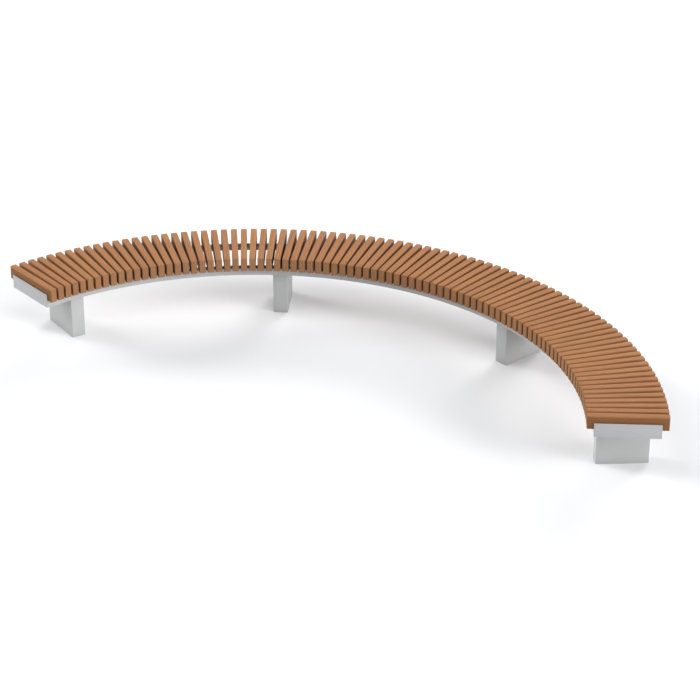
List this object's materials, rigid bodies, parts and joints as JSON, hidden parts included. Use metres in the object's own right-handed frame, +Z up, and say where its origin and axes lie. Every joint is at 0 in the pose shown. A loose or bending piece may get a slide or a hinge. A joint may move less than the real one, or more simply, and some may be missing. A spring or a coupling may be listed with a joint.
{
  "type": "curved backless bench",
  "caption": "Long curved backless bench: radial timber slats on edge over two curved steel angle rails with end plates, on boxed steel pedestals.",
  "frame": {"origin": "on the ground, in the middle of the bench's plan box", "axes": "+X along the bench's chord, +Y towards the outside of the curve, +Z up"},
  "size_m": [4.7686, 1.776, 0.448],
  "materials": {
    "hardwood": "oiled reddish-brown hardwood, planed, long edges rounded",
    "coated_plate": "satin light grey coat over folded steel plate",
    "coated_rail": "satin light grey coat over rolled steel section",
    "stainless_fasteners": "plain stainless steel"
  },
  "bodies": {
    "root": {"bearer_1": "coated_rail", "bearer_2": "coated_rail", "bearer_3": "coated_rail", "bearer_4": "coated_rail", "end_plate_left": "coated_plate", "end_plate_right": "coated_plate", "inner_rail_left": "coated_rail", "inner_rail_middle": "coated_rail", "inner_rail_right": "coated_rail", "joint_nuts": "stainless_fasteners", "joint_plates_left": "coated_rail", "joint_plates_right": "coated_rail", "joint_studs": "stainless_fasteners", "outer_rail_left": "coated_rail", "outer_rail_middle": "coated_rail", "outer_rail_right": "coated_rail", "pedestal_1_base_plate": "coated_plate", "pedestal_1_box": "coated_plate", "pedestal_1_top_plate": "coated_plate", "pedestal_2_base_plate": "coated_plate", "pedestal_2_box": "coated_plate", "pedestal_2_top_plate": "coated_plate", "pedestal_3_base_plate": "coated_plate", "pedestal_3_box": "coated_plate", "pedestal_3_top_plate": "coated_plate", "pedestal_4_base_plate": "coated_plate", "pedestal_4_box": "coated_plate", "pedestal_4_top_plate": "coated_plate", "pedestal_bolts": "stainless_fasteners", "slat_screws_inner": "stainless_fasteners", "slat_screws_outer": "stainless_fasteners", "slats_01_to_03": "hardwood", "slats_04_to_06": "hardwood", "slats_07_to_09": "hardwood", "slats_10_to_12": "hardwood", "slats_13_to_15": "hardwood", "slats_16_to_18": "hardwood", "slats_19_to_21": "hardwood", "slats_22_to_24": "hardwood", "slats_25_to_27": "hardwood", "slats_28_to_30": "hardwood", "slats_31_to_33": "hardwood", "slats_34_to_36": "hardwood", "slats_37_to_39": "hardwood", "slats_40_to_42": "hardwood", "slats_43_to_45": "hardwood", "slats_46_to_48": "hardwood", "slats_49_to_51": "hardwood", "slats_52_to_54": "hardwood", "slats_55_to_57": "hardwood", "slats_58_to_60": "hardwood", "slats_61_to_63": "hardwood", "slats_64_to_66": "hardwood", "slats_67_to_69": "hardwood", "slats_70_to_72": "hardwood", "slats_73_to_75": "hardwood", "slats_76_to_78": "hardwood", "slats_79_to_81": "hardwood", "slats_82_to_84": "hardwood", "slats_85_to_86": "hardwood"}
  },
  "joints": []
}
